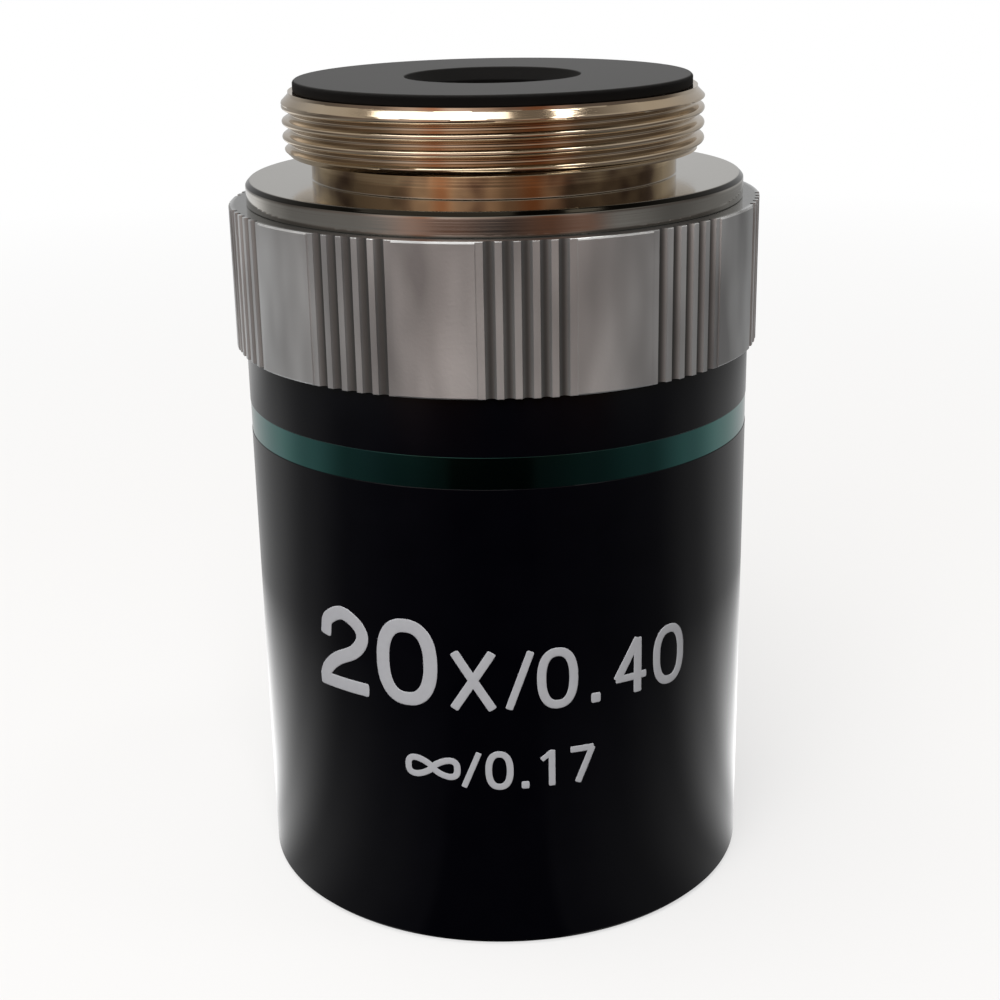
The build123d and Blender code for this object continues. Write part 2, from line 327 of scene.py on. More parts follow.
# %% [markdown]
# ## The mounting thread
#
# The thread is a ridge wound round the mount, 36 to the inch. It could be cut with a screw modifier, but a
# formula is exact: the radius depends on how far a point lies along the pitch, and the pitch line itself
# climbs as it goes round. The grid's rows climb with it, so each crest stays one clean line. Rows past the
# ends are pressed flat there and welded. After one turn each row has reached the place of the row one pitch
# up, so the last column lies on the first, and the weld joins the two.

# %% Mount sizes
pitch = 25.4 / 36
thread_radius = 10.1
thread_depth = 0.38
crest_flatness = 1.3
crest_height = 36.80
lead_bevel = 0.34
lead_land = 0.14
lead_fade = 0.08
runout_depth = 0.33
neck_radius = 8.8
rear_bore_radius = 7.6
tube_seat = 33.16
tube_bore_radius = 9.4
spigot_radius = 10.6
rows_per_pitch = 16
front = -np.pi / 2  # the angle of the side that faces the camera, where the height of a crest was taken
print("pitch", round(pitch, 4), "turns", round((mount_top - neck_top) / pitch, 2))


# %% Mount
def thread_section(z, angle):
    """Thread radius: a wave along the pitch that climbs one pitch a turn.

    A tanh flattens the wave at crest and root. The groove fades out just below the lead-in. A cone bevels
    each end, and the smallest of the radii is what the tool leaves.
    """
    turns = (z - crest_height) / pitch - (angle - front) / (2 * np.pi)
    wave = np.tanh(crest_flatness * np.cos(2 * np.pi * turns)) / np.tanh(crest_flatness)
    lead_start = mount_top - lead_land - lead_bevel
    plain = np.clip((z - lead_start + 2 * lead_fade) / lead_fade, 0, 1)
    thread = thread_radius - thread_depth * (1 - np.maximum(wave, 2 * plain - 1)) / 2
    lead = thread_radius - np.clip(z - lead_start, 0, lead_bevel)
    runout = thread_radius - runout_depth + (z - neck_top)
    return np.minimum(thread, np.minimum(lead, runout))


def mount_grid(columns=around):
    """Section of the mount: bore, spigot, flange, neck, the climbing rows of the thread, end face.

    The last corner is where the thread starts. Only the first points of its curve are kept, since the rows
    go on from there.
    """
    angle = np.linspace(0, 2 * np.pi, columns, endpoint=True)
    below = broken_edges([(rear_bore_radius, mount_top), (rear_bore_radius, tube_seat),
                          (tube_bore_radius, tube_seat), (tube_bore_radius, spigot_bottom),
                          (spigot_radius, spigot_bottom), (spigot_radius, ring_top),
                          (flange_radius, ring_top), (flange_radius, shoulder - flange_bevel),
                          (flange_radius - flange_bevel, shoulder), (neck_radius, shoulder),
                          (neck_radius, neck_top), (thread_radius - thread_depth, neck_top)])
    below = below[:-4]
    r = np.repeat(below[:, :1], columns, 1)
    z = np.repeat(below[:, 1:], columns, 1)
    rows = np.arange(-rows_per_pitch, (mount_top - neck_top) / pitch * rows_per_pitch + 1)
    climb = neck_top + pitch * (rows[:, None] / rows_per_pitch + angle / (2 * np.pi))
    climb = np.clip(climb, neck_top, mount_top)
    r = np.concatenate([r, thread_section(climb, angle)])
    z = np.concatenate([z, climb])
    return np.stack([r * np.cos(angle), r * np.sin(angle), z], -1)


mount = surface("mount_with_thread", mount_grid(), meets_itself=True)
dress(mount, plated_brass, "plated_brass", "thread_mount")

# %% [markdown]
# ## The grip ring
#
# Ten pads stand round the ring, each turned down by a hair and cut with five round flutes, and smooth lands
# lie between them. A flute could be cut with a boolean, but here the ring's outside is one function of the
# angle. Columns of the grid lie exactly on the edges of each flute, which keeps them crisp.

# %% Grip ring sizes
ring_radius = barrel_radius + 0.45
pad_count = 10
pad_turn = -84.1
pad_half_angle = 9.8
pad_relief = 0.06
flutes_per_pad = 5
flute_step = 3.6
flute_width = 0.5
flute_depth = 0.22
ring_top_bevel = 0.08
ring_bottom_bevel = 0.07
ring_bore_radius = 10.62
pad_radius = ring_radius - pad_relief
cutter_radius = (flute_width**2 / 4 + flute_depth**2) / (2 * flute_depth)
cutter_reach = pad_radius - flute_depth + cutter_radius
flute_half_angle = np.degrees(np.arcsin(flute_width / 2 / pad_radius))
print("cutter radius", round(cutter_radius, 3), "flute half angle", round(flute_half_angle, 3))

# %% [markdown]
# ## Satin chrome
#
# The grip ring is blasted with fine grit before it is chromed, which gives a soft grey that doesn't slip.
# Grit of 0.08 mm leaves a faint grain, drawn at twice that so that it shows. The blast is never quite even,
# so its roughness drifts over a few millimetres, in patches that are taller than wide. The grey drifts in the
# same patches, and that is partly a painted reflection: the blotchy bands that satin mirrors from the room.
# The flutes are painted a darker grey, a painted shade for their hollows, which mirror the dark room. The
# ring's top face was turned after blasting, so that it seats on the flange, and it is bright.

# %% Satin chrome
grit_mm = 0.16
drift_mm = 3.0
chrome = srgb("#e3e6e7")
# the dimmer grey of the patches: partly uneven blast, partly a painted reflection of the room's bands
chrome_in_dim_patches = srgb("#9b9c9d")
# painted shade: the darker grey of the flutes stands for shade in their hollows
flute_painted_shade = srgb("#5f605f")

satin_chrome, tree = new_material("blasted_satin_chrome")
reach, height = radius_and_height(tree)
place = add(tree, "TexCoord").outputs["Object"]
grit = add(tree, "TexNoise", {"Vector": place, "Scale": 1000 / grit_mm, "Detail": 1.0}).outputs["Fac"]
tall = add(tree, "VectorMath", {0: place, 1: (1, 1, 0.3)}, operation="MULTIPLY").outputs[0]
drift = add(tree, "TexNoise", {"Vector": tall, "Scale": 1000 / drift_mm, "Detail": 2.0}).outputs["Fac"]
# patches taller than wide, partly a painted reflection of blotchy bands in the room
blast_and_reflection_patches = add(tree, "MapRange", {"Value": drift, "From Min": 0.3, "From Max": 0.7}).outputs[0]
# mask of the painted shade, deepening from the pad's face to the bottom of a flute
flute_shade_mask = add(tree, "MapRange", {
    "Value": reach,
    "From Min": (pad_radius - 0.02) / 1000,
    "From Max": (pad_radius - flute_depth) / 1000,
}).outputs[0]
on_top = add(tree, "MapRange", {
    "Value": height,
    "From Min": (ring_top - 0.012) / 1000,
    "From Max": (ring_top - 0.004) / 1000,
}).outputs[0]
# the chrome takes its patches of painted reflection here
grey = add(tree, "Mix", {0: blast_and_reflection_patches, mix_a: chrome, mix_b: chrome_in_dim_patches}, data_type="RGBA").outputs[mix_out]
# the flutes get their painted shade here
skin = add(tree, "Mix", {0: flute_shade_mask, mix_a: grey, mix_b: flute_painted_shade}, data_type="RGBA").outputs[mix_out]
dull = add(tree, "MapRange", {"Value": drift, "To Min": 0.42, "To Max": 0.52}).outputs[0]
rough = add(tree, "Mix", {0: on_top, 2: dull, 3: 0.14}).outputs[0]
grain = add(tree, "Bump", {"Height": grit, "Strength": 0.2, "Distance": 0.00003}).outputs[0]
shader = add(tree, "BsdfPrincipled", {"Base Color": skin, "Metallic": 0.8, "Roughness": rough,
                                      "Normal": grain})
finish_with(satin_chrome, shader)

# %% [markdown]
# The outline of the ring is written as a function of the angle, and the grid follows it. On each flute the
# columns lie at the sines of even steps, so that they crowd at its two edges, where it turns sharply.


# %% Ring surface
hair = 0.05
land_step = 0.6
flute_columns = 13
print("angles in degrees: hair", hair, "land step", land_step)


def pad_columns():
    """Angles in degrees of one pad and its land: close together on edges, wide apart on smooth stretches."""
    flutes = flute_step * (np.arange(flutes_per_pad) - (flutes_per_pad - 1) / 2)
    inside = flute_half_angle * np.sin(np.linspace(-np.pi / 2, np.pi / 2, flute_columns))
    edges = np.array([-flute_half_angle - hair, flute_half_angle + hair])
    cut = (flutes[:, None] + np.concatenate([inside, edges])).ravel()
    step = np.array([-1, 1])[:, None] * (pad_half_angle + np.array([-hair, 0.0, hair, 2 * hair]))
    land = np.arange(pad_half_angle + land_step, 360 / pad_count - pad_half_angle, land_step)
    return np.sort(np.concatenate([cut, step.ravel(), land]))


def ring_outline(angle):
    """Radius of the ring's outside at angles in degrees: land, pad, or the arc of the round cutter."""
    spacing = 360 / pad_count
    from_pad = (angle - pad_turn + spacing / 2) % spacing - spacing / 2
    nearest = np.clip(np.round(from_pad / flute_step), -(flutes_per_pad // 2), flutes_per_pad // 2)
    off = np.radians(from_pad - nearest * flute_step)
    under = np.maximum(cutter_radius**2 - (cutter_reach * np.sin(off)) ** 2, 0)
    arc = cutter_reach * np.cos(off) - np.sqrt(under)
    plain = np.where(np.abs(from_pad) <= pad_half_angle + 0.001, pad_radius, ring_radius)
    return np.where(np.degrees(np.abs(off)) < flute_half_angle, np.minimum(plain, arc), plain)


def ring_grid():
    """The outline at each height, kept inside the cone of the bevel at each rim, joined to a plain bore.

    The rows lie at shares of the bevel's height: five on it, and two just past it to hold its edge.
    """
    turns = np.arange(pad_count)[:, None] * 360 / pad_count
    angle = np.sort((pad_turn + turns + pad_columns()).ravel())
    rim = np.array([0.0, 0.25, 0.5, 0.75, 1.0, 1.15, 1.4])
    bottom_rows = ring_bottom + ring_bottom_bevel * rim
    top_rows = ring_top - ring_top_bevel * rim[::-1]
    z = np.concatenate([bottom_rows, top_rows])[:, None]
    cone = ring_radius + np.minimum(z - ring_bottom - ring_bottom_bevel, ring_top - ring_top_bevel - z)
    outside = np.minimum(ring_outline(angle)[None], np.minimum(cone, ring_radius))
    r = np.concatenate([outside, np.full((2, len(angle)), ring_bore_radius)])
    z = np.concatenate([z, [[ring_top], [ring_bottom]]]) + 0 * angle
    angle = np.radians(angle)
    return np.stack([r * np.cos(angle), r * np.sin(angle), z], -1)


ring = surface("fluted_grip_ring", ring_grid())
dress(ring, satin_chrome, "satin_chrome", "grip_ring")

# %% [markdown]
# ## Black lacquer and green enamel
#
# The barrel is lacquered black over smooth metal. Such a lacquer has almost no colour of its own: what is
# seen is a clear reflection, weak face on and strong along the edges. Its skin ripples a little, a millimetre
# or two from crest to crest. The green line is clear green enamel over bright metal, laid in a groove and
# polished, so it mirrors the room in green.

# %% Black lacquer
ripple_mm = 1.6
lacquer_black = srgb("#020205")
lacquer_black_2 = srgb("#040408")

black_lacquer, tree = new_material("black_gloss_lacquer")
place = add(tree, "TexCoord").outputs["Object"]
ripple = add(tree, "TexNoise", {"Vector": place, "Scale": 1000 / ripple_mm, "Detail": 1.0}).outputs["Fac"]
wave = add(tree, "Bump", {"Height": ripple, "Strength": 0.04, "Distance": 0.00002}).outputs[0]
tint = add(tree, "Mix", {0: ripple, mix_a: lacquer_black, mix_b: lacquer_black_2}, data_type="RGBA")
shine = add(tree, "MapRange", {"Value": ripple, "To Min": 0.13, "To Max": 0.17}).outputs[0]
shader = add(tree, "BsdfPrincipled", {"Base Color": tint.outputs[mix_out], "Roughness": shine, "IOR": 1.36,
                                      "Normal": wave})
finish_with(black_lacquer, shader)

# %% Green enamel
enamel_green = srgb("#35786f")
enamel_blue_green = srgb("#407675")

green_enamel, tree = new_material("clear_green_enamel")
place = add(tree, "TexCoord").outputs["Object"]
depth = add(tree, "TexNoise", {"Vector": place, "Scale": 1000 / ripple_mm, "Detail": 1.0}).outputs["Fac"]
hue = add(tree, "Mix", {0: depth, mix_a: enamel_green, mix_b: enamel_blue_green}, data_type="RGBA")
shader = add(tree, "BsdfPrincipled", {"Base Color": hue.outputs[mix_out], "Metallic": 1.0, "Roughness": 0.12,
                                      "Coat Weight": 0.5, "Coat Roughness": 0.08})
finish_with(green_enamel, shader)

# %% [markdown]
# ## Barrel and band
#
# Both are plain turning. The barrel's section goes round its wall once, with the groove that the enamel
# fills, and the band's section is a small rectangle whose corners are polished almost level.

# %% Barrel sizes
nose_wall = 1.4
nose_opening_radius = 7.03
barrel_bore_radius = 10.0
relief_length = 0.5
thread_relief_bottom = spigot_bottom - relief_length
spigot_bore_radius = spigot_radius + 0.02
flush_break = 0.02
barrel_edge_bevel = 0.25
band_groove_radius = barrel_radius - 0.2
print("barrel bore", barrel_bore_radius, "thread relief from", round(thread_relief_bottom, 2))

# %% Barrel and band
barrel = surface("lacquered_barrel", turn(broken_edges([
    (barrel_radius - barrel_edge_bevel, 0),
    (barrel_radius, barrel_edge_bevel),
    (barrel_radius, band_bottom),
    (band_groove_radius, band_bottom),
    (band_groove_radius, band_top),
    (barrel_radius, band_top),
    (barrel_radius, ring_bottom),
    (spigot_bore_radius, ring_bottom),
    (spigot_bore_radius, thread_relief_bottom),
    (barrel_bore_radius, thread_relief_bottom),
    (barrel_bore_radius, nose_wall),
    (nose_opening_radius, nose_wall),
    (nose_opening_radius, 0),
], flush_break)))
dress(barrel, black_lacquer, "black_barrel", "outer_barrel")

band = surface("enamel_band", turn(broken_edges([
    (band_radius, band_bottom),
    (band_radius, band_top),
    (band_groove_radius, band_top),
    (band_groove_radius, band_bottom),
], flush_break)))
dress(band, green_enamel, "green_enamel", "green_band")

# %% [markdown]
# ## Rear stop
#
# The stop is a flat disc, blackened so that no stray light gets through. Black anodising is a rough skin
# that drinks light face on, but it still shines softly at a low angle, which is why its top looks grey in a
# picture taken from the side. The rim and the hole were left rougher than the top face, and stay black.

# %% Black anodising
anodised_black = srgb("#050505")
anodised_black_2 = srgb("#080808")

matte_black, tree = new_material("black_anodised_matte")
height = radius_and_height(tree)[1]
feed = ring_pattern(tree, tool_feed_mm, 1.0)
lines = add(tree, "Bump", {"Height": feed, "Strength": 0.1, "Distance": 0.00002}).outputs[0]
soot = add(tree, "Mix", {0: feed, mix_a: anodised_black, mix_b: anodised_black_2}, data_type="RGBA")
rough = add(tree, "MapRange", {
    "Value": height,
    "From Min": (stop_top - 0.06) / 1000,
    "From Max": (stop_top - 0.01) / 1000,
    "To Min": 0.9,
    "To Max": 0.40,
}).outputs[0]
shader = add(tree, "BsdfPrincipled", {"Base Color": soot.outputs[mix_out], "Roughness": rough, "IOR": 1.36,
                                      "Normal": lines})
finish_with(matte_black, shader)

# %% Rear stop
stop_hole_radius = 7.35 / 2
stop_hole_bevel = 0.57
stop_edge_bevel = 0.1
stop_edge_break = 0.05
stop_spigot_radius = rear_bore_radius - 0.02
stop_spigot_bottom = mount_top - 1.6
stop = surface("rear_stop_disc", turn(broken_edges([
    (stop_hole_radius, stop_spigot_bottom),
    (stop_spigot_radius, stop_spigot_bottom),
    (stop_spigot_radius, mount_top),
    (stop_radius, mount_top),
    (stop_radius, stop_top - stop_edge_bevel),
    (stop_radius - stop_edge_bevel, stop_top),
    (stop_hole_radius + stop_hole_bevel, stop_top),
    (stop_hole_radius, stop_top - stop_hole_bevel),
], stop_edge_break)))
dress(stop, matte_black, "matte_black", "rear_stop")

# %% [markdown]
# ## Numbers
#
# Plain numbers are printed on the barrel in light grey: the magnification and aperture, and below them the
# sign for infinity and the cover glass thickness, as on every objective. Each is drawn as strokes of a pen:
# a path, with a flat rounded section carried along it, and wrapped on the cylinder. The figures are this
# lesson's own, in millimetres along the barrel and up it.


# %% Paths of the pen
def straight(*points):
    """Path through points, with six even steps on each stretch."""
    points = np.array(points, float)
    t = np.linspace(0, 1, 7)[:, None]
    steps = [a + (b - a) * t[:-1] for a, b in zip(points[:-1], points[1:])]
    return np.concatenate(steps + [points[-1:]])


def curved(points, steps=10):
    """Smooth path through points: each stretch is a cubic whose slopes follow the neighbours' places."""
    points = np.array(points, float)
    padded = np.concatenate([[2 * points[0] - points[1]], points, [2 * points[-1] - points[-2]]])
    t = np.linspace(0, 1, steps, endpoint=False)[:, None]
    a, b, c, d = (padded[k : len(padded) - 3 + k, None] for k in range(4))
    path = 0.5 * (2 * b + (c - a) * t + (2 * a - 5 * b + 4 * c - d) * t**2 + (3 * b - a - 3 * c + d) * t**3)
    return np.concatenate([path.reshape(-1, 2), points[-1:]])


def oval(centre, half_width, half_height, power=2.4):
    """Closed oval, a little squarer than an ellipse: cosine and sine raised to 2 / power."""
    t = np.linspace(0, 2 * np.pi, 72, endpoint=False)
    shape = np.stack([np.cos(t), np.sin(t)], -1)
    return centre + (half_width, half_height) * np.sign(shape) * np.abs(shape) ** (2 / power)


def eight(centre, half_width, half_height, power=0.72):
    """Closed figure of eight lying down: the sine of an angle, and the sine of twice the angle to a power.

    A power under one makes the two loops rounder.
    """
    t = np.linspace(0, 2 * np.pi, 96, endpoint=False) + 0.01
    rise = np.sign(np.sin(2 * t)) * np.abs(np.sin(2 * t)) ** power
    return centre + np.stack([half_width * np.sin(t), half_height * rise], -1)


# %% Stroke surface
print_height = 0.018
print_sink = 0.02
cap_share = 0.28
cap_steps = 6
points_across = 20


def pen_stroke(path, width, closed):
    """Grid of a flat section carried along a path and wrapped on the barrel.

    The section is a squarish oval, as wide as the pen and as thick as the print. An open path gets an end
    that narrows as the fourth root of one minus the fourth power of the way to its tip.
    """
    along = (np.roll(path, -1, 0) - np.roll(path, 1, 0)) if closed else np.gradient(path, axis=0)
    along /= np.linalg.norm(along, axis=1, keepdims=True)
    size = np.ones(len(path))
    if not closed:
        cap = cap_share * width
        way = np.sin(np.linspace(0, np.pi / 2, cap_steps + 1))[1:]
        taper = (1 - way**4) ** 0.25
        first_cap = path[0] - cap * way[::-1, None] * along[0]
        last_cap = path[-1] + cap * way[:, None] * along[-1]
        path = np.concatenate([first_cap, path, last_cap])
        along = np.pad(along, ((cap_steps, cap_steps), (0, 0)), mode="edge")
        size = np.concatenate([taper[::-1], size, taper])
    u = np.linspace(0, 2 * np.pi, points_across, endpoint=False)
    across = width / 2 * np.sign(np.cos(u)) * np.abs(np.cos(u)) ** 0.5
    lift = np.sign(np.sin(u)) * np.abs(np.sin(u)) ** 0.5
    lift = np.where(lift > 0, lift * print_height, lift * print_sink)
    side = np.stack([-along[:, 1], along[:, 0]], -1)
    flat = path[:, None] + side[:, None] * (across * size[:, None])[..., None]
    angle = -np.pi / 2 + flat[..., 0] / barrel_radius
    r = barrel_radius + lift * size[:, None]
    return np.stack([r * np.cos(angle), r * np.sin(angle), flat[..., 1]], -1)


def strip(grid, closed):
    """Points and quads of one stroke: its section always wraps, its path only where it is closed."""
    rows, columns = grid.shape[:2]
    index = np.arange(rows * columns).reshape(rows, columns)
    ahead = np.roll(index, -1, 0)
    if not closed:
        index, ahead = index[:-1], ahead[:-1]
    quads = np.stack([index, np.roll(index, -1, 1), np.roll(ahead, -1, 1), ahead], -1).reshape(-1, 4)
    return grid.reshape(-1, 3) / 1000, quads


print("print height", print_height, "mm")

# %% [markdown]
# The paint is a matt light grey, printed a hair proud of the lacquer, with a slight unevenness of its own.

# %% Print paint
pigment_mm = 0.3
print_grey = srgb("#a0a3a9")
print_grey_2 = srgb("#a9acb1")

number_paint, tree = new_material("light_grey_print_paint")
place = add(tree, "TexCoord").outputs["Object"]
pigment = add(tree, "TexNoise", {"Vector": place, "Scale": 1000 / pigment_mm, "Detail": 2.0}).outputs["Fac"]
pale = add(tree, "Mix", {0: pigment, mix_a: print_grey, mix_b: print_grey_2}, data_type="RGBA")
shader = add(tree, "BsdfPrincipled", {"Base Color": pale.outputs[mix_out], "Roughness": 0.6, "IOR": 1.45})
finish_with(number_paint, shader)

# %% [markdown]
# Each figure is a list of strokes: a path, the width of the pen, and whether the path closes on itself. The
# upper row has two sizes of figure, and the lower row is smaller still.

# %% Upper row
big, small, narrow, dot = 0.67, 0.43, 0.36, 0.5
upper_row = {
    "two": [(curved([(-9.13, 15.25), (-8.95, 15.95), (-8.05, 16.42), (-7.15, 16.0), (-6.88, 15.35),
                     (-7.35, 14.62), (-8.45, 14.0), (-9.1, 13.4), (-9.3, 12.95)]), big, False),
            (straight((-9.44, 12.78), (-6.78, 12.78)), big, False)],
    "zero": [(oval((-4.57, 14.6), 1.19, 1.83), big, True)],
    "times": [(straight((-2.2, 15.25), (-0.55, 12.6)), small, False),
              (straight((-0.55, 15.25), (-2.25, 12.6)), small, False)],
    "slash": [(straight((0.27, 12.6), (1.25, 15.28)), narrow, False)],
    "nought": [(oval((2.53, 13.93), 0.76, 1.31), small, True)],
    "point": [(straight((4.28, 12.68), (4.48, 12.68)), dot, False)],
    "four": [(straight((6.6, 12.62), (6.6, 15.15)), small, False),
             (straight((6.55, 15.15), (5.52, 13.42)), small, False),
             (straight((5.5, 13.35), (7.0, 13.35)), narrow, False)],
    "last_nought": [(oval((8.5, 13.93), 0.78, 1.31), small, True)],
}
print(len(upper_row), "figures in the upper row")

# %% Lower row
low, low_narrow, low_flag, low_dot = 0.32, 0.28, 0.26, 0.38
lower_row = {
    "infinity": [(eight((-3.43, 9.38), 1.2, 0.42), low, True)],
    "low_slash": [(straight((-1.9, 8.55), (-1.22, 10.22)), low_narrow, False)],
    "low_nought": [(oval((-0.25, 9.38), 0.5, 0.84), low, True)],
    "low_point": [(straight((0.88, 8.6), (1.04, 8.6)), low_dot, False)],
    "one": [(straight((2.22, 8.55), (2.22, 10.22)), low, False),
            (straight((2.2, 10.2), (1.78, 9.88)), low_flag, False)],
    "seven": [(straight((3.2, 10.2), (4.18, 10.2)), low, False),
              (straight((4.18, 10.15), (3.5, 8.55)), low, False)],
}
print(len(lower_row), "figures in the lower row")


# %% Figures
def printed(name, parts):
    """One figure as a mesh of its strokes, each a closed skin of its own, turned outwards by its volume."""
    points, quads, start = [], [], 0
    for path, width, closed in parts:
        p, q = strip(pen_stroke(path, width, closed), closed)
        if enclosed(p - p.mean(0), q) < 0:
            q = q[:, ::-1]
        points.append(p)
        quads.append(q + start)
        start += len(p)
    mesh = bpy.data.meshes.new(name)
    mesh.from_pydata(np.concatenate(points), [], np.concatenate(quads))
    piece = bpy.data.objects.new(name, mesh)
    bpy.context.scene.collection.objects.link(piece)
    weld(piece)
    mesh.shade_smooth()
    mesh.set_sharp_from_angle(angle=np.radians(50))
    return piece


for name, parts in (upper_row | lower_row).items():
    dress(printed("number_" + name, parts), number_paint, "number_paint")
print(len(upper_row | lower_row), "figures printed")

# %% [markdown]
# ## Glass and the hidden pieces
#
# The first and last lenses can be seen through the nose and the stop. They, the cells and the rings keep the
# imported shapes, which are already finely turned, and get finishes of their own. Lens coatings reflect a faint
# blue, so the glass has a blue specular tint.

# %% Coated glass
layer_mm = 11.1
coated_glass, tree = new_material("coated_optical_glass")
place = add(tree, "TexCoord").outputs["Object"]
layer = add(tree, "TexNoise", {"Vector": place, "Scale": 1000 / layer_mm, "Detail": 1.0}).outputs["Fac"]
polish = add(tree, "MapRange", {"Value": layer, "To Min": 0.0, "To Max": 0.02}).outputs[0]
shader = add(tree, "BsdfPrincipled", {"Base Color": srgb("#e8f0f2"), "Roughness": polish, "IOR": 1.52,
                                      "Transmission Weight": 1.0, "Specular Tint": srgb("#8f9fe8")})
finish_with(coated_glass, shader)

# %% [markdown]
# The tube, the cells and the spacers are brass, turned and then blackened with an oxide, which leaves them
# dull. The thin shim that sets the length is left as bright as it came from the tool.

# %% Inner finishes
oxide = srgb("#0a0a0b")
oxide_worn = srgb("#111112")

black_oxide, tree = new_material("blackened_brass")
feed = ring_pattern(tree, tool_feed_mm, 1.0)
soot = add(tree, "Mix", {0: feed, mix_a: oxide, mix_b: oxide_worn}, data_type="RGBA").outputs[mix_out]
shader = add(tree, "BsdfPrincipled", {"Base Color": soot, "Roughness": 0.6})
finish_with(black_oxide, shader)

bright_brass, tree = new_material("turned_bright_brass")
feed = ring_pattern(tree, tool_feed_mm, 1.0)
shine = add(tree, "MapRange", {"Value": feed, "To Min": 0.18, "To Max": 0.3}).outputs[0]
shader = add(tree, "BsdfPrincipled", {"Base Color": srgb("#d9b56a"), "Metallic": 1.0, "Roughness": shine})
finish_with(bright_brass, shader)

# %% Inner pieces
finish_of_slot = {
    "black_tube": black_oxide,
    "black_cell": black_oxide,
    "bright_brass": bright_brass,
    "coated_glass": coated_glass,
}
for part in frame["record"]["subparts"]:
    finish = finish_of_slot.get(part["material_slot"])
    if finish:
        mesh = frame["nodes"][part["node"]].data
        mesh.materials.clear()
        mesh.materials.append(finish)
        print(part["node"], finish.name)

# %% [markdown]
# ## The studio
#
# The objective stands on a white table, and the camera sees that table as plain white with a soft shadow.
# Shiny metal shows the whole room instead: pale paper at the back, dim air round the camera, and warm walls
# on both sides of it. So the table and the room have a second face, for reflections, painted by the direction
# round the axis. Near the object it is dark in front, because that part mirrors in the lacquer, which is
# black in the middle. Farther out it has the warm patches that the polished flange and the thread pick up.

# %% Room
warm_wall = np.array([1.0, 0.52, 0.36])
near_room = [(-180, 0.58, 0), (-135, 0.52, 0), (-114, 0.47, 0), (-90, 0.24, 0), (-66, 0.07, 0),
             (-40, 0.03, 0), (-23, 0.015, 0), (-19, 0.002, 0), (12, 0.002, 0), (16, 0.015, 0),
             (40, 0.03, 0), (66, 0.07, 0), (90, 0.24, 0), (114, 0.47, 0), (135, 0.52, 0), (180, 0.58, 0)]
far_room = [(-180, 0.75, 0), (-140, 0.95, 0), (-116, 0.34, 0), (-100, 0.22, 0), (-52, 0.24, 0),
            (-37, 0.42, 0.6), (-20, 0.17, 1), (0, 0.035, 0.2), (22, 0.13, 1), (40, 0.24, 0.9),
            (56, 0.27, 0), (84, 0.14, 0), (112, 0.22, 0), (150, 0.25, 0), (180, 0.70, 0)]
outer_room = [(-180, 0.58, 0), (-140, 0.36, 0), (-104, 0.12, 0.2), (-66, 0.20, 0.3), (-45, 0.60, 0.4),
              (-32, 0.55, 1.0), (-22, 0.75, 0.4), (-4, 0.50, 0.5), (8, 0.22, 0.6), (24, 0.22, 1.2),
              (36, 0.34, 0.6), (48, 0.12, 0.3), (105, 0.12, 0.2), (135, 0.42, 0), (180, 0.60, 0)]
print("marks round the room:", len(near_room), len(far_room), len(outer_room))


# %% Room shaders
def room_ramp(tree, vector, stops):
    """Colour of the room by direction round the axis: 0 degrees towards the camera, 90 to its right.

    Each stop is a direction in degrees, a brightness, and how far its colour goes to the warm wall's.
    """
    way = add(tree, "SeparateXYZ", {0: vector})
    ahead = add(tree, "Math", {0: way.outputs[1], 1: -1.0}, operation="MULTIPLY")
    round_axis = add(tree, "Math", {0: way.outputs[0], 1: ahead.outputs[0]}, operation="ARCTAN2")
    share = add(tree, "MapRange", {"Value": round_axis.outputs[0], "From Min": -np.pi, "From Max": np.pi})
    ramp = add(tree, "ValToRGB", {"Fac": share.outputs[0]})
    ramp.color_ramp.interpolation = "EASE"
    marks = ramp.color_ramp.elements
    while len(marks) < len(stops):
        marks.new(0.5)
    for mark, (degrees, level, warmth) in zip(marks, stops):
        mark.position = degrees / 360 + 0.5
        mark.color = (*(level * (1 - warmth + warmth * warm_wall)).tolist(), 1)
    return ramp.outputs["Color"]


def reach_ramp(tree, place, near, far, start=0.0, end=1.0):
    """Runs from start to end as the distance from the axis goes from near to far, in metres."""
    reach = add(tree, "VectorMath", {0: place}, operation="LENGTH").outputs["Value"]
    ramp = add(tree, "MapRange", {"Value": reach, "From Min": near, "From Max": far,
                                  "To Min": start, "To Max": end})
    return ramp.outputs[0]


# %% [markdown]
# The table is one large square. To the camera it is pale paper that a shadow can fall on, and it melts into
# plain white a little way out. To reflections it is the painted room, in three rings from near to outer, and
# it is brightest at the foot of the barrel, where lamp light comes back up from the paper.

# %% Table
half_side = 3.0
table_drop = 0.00002
corners = half_side * np.array([(-1, -1, 0), (1, -1, 0), (1, 1, 0), (-1, 1, 0)])
sheet = bpy.data.meshes.new("table")
sheet.from_pydata(corners, [], [(0, 1, 2, 3)])
table = bpy.data.objects.new("table", sheet)
table.location = (0, 0, -table_drop)
bpy.context.scene.collection.objects.link(table)
print("table", 2 * half_side, "m square")

# %% Table paper
paper_grey = (0.25, 0.25, 0.25, 1)
paper_glow = 0.6
pure_white = (1, 1, 1, 1)
white_table, tree = new_material("white_table_paper")
place = add(tree, "TexCoord").outputs["Object"]
path = add(tree, "LightPath")
paper = add(tree, "BsdfDiffuse", {"Color": paper_grey}).outputs[0]
glow = add(tree, "Emission", {"Color": pure_white, "Strength": paper_glow}).outputs[0]
lit = add(tree, "AddShader", {0: paper, 1: glow}).outputs[0]
white = add(tree, "Emission", {"Color": pure_white, "Strength": 1.0}).outputs[0]
melt = reach_ramp(tree, place, 0.06, 0.22)
seen = add(tree, "MixShader", {0: melt, 1: lit, 2: white}).outputs[0]
print("camera's side of the paper:", len(tree.nodes), "nodes")

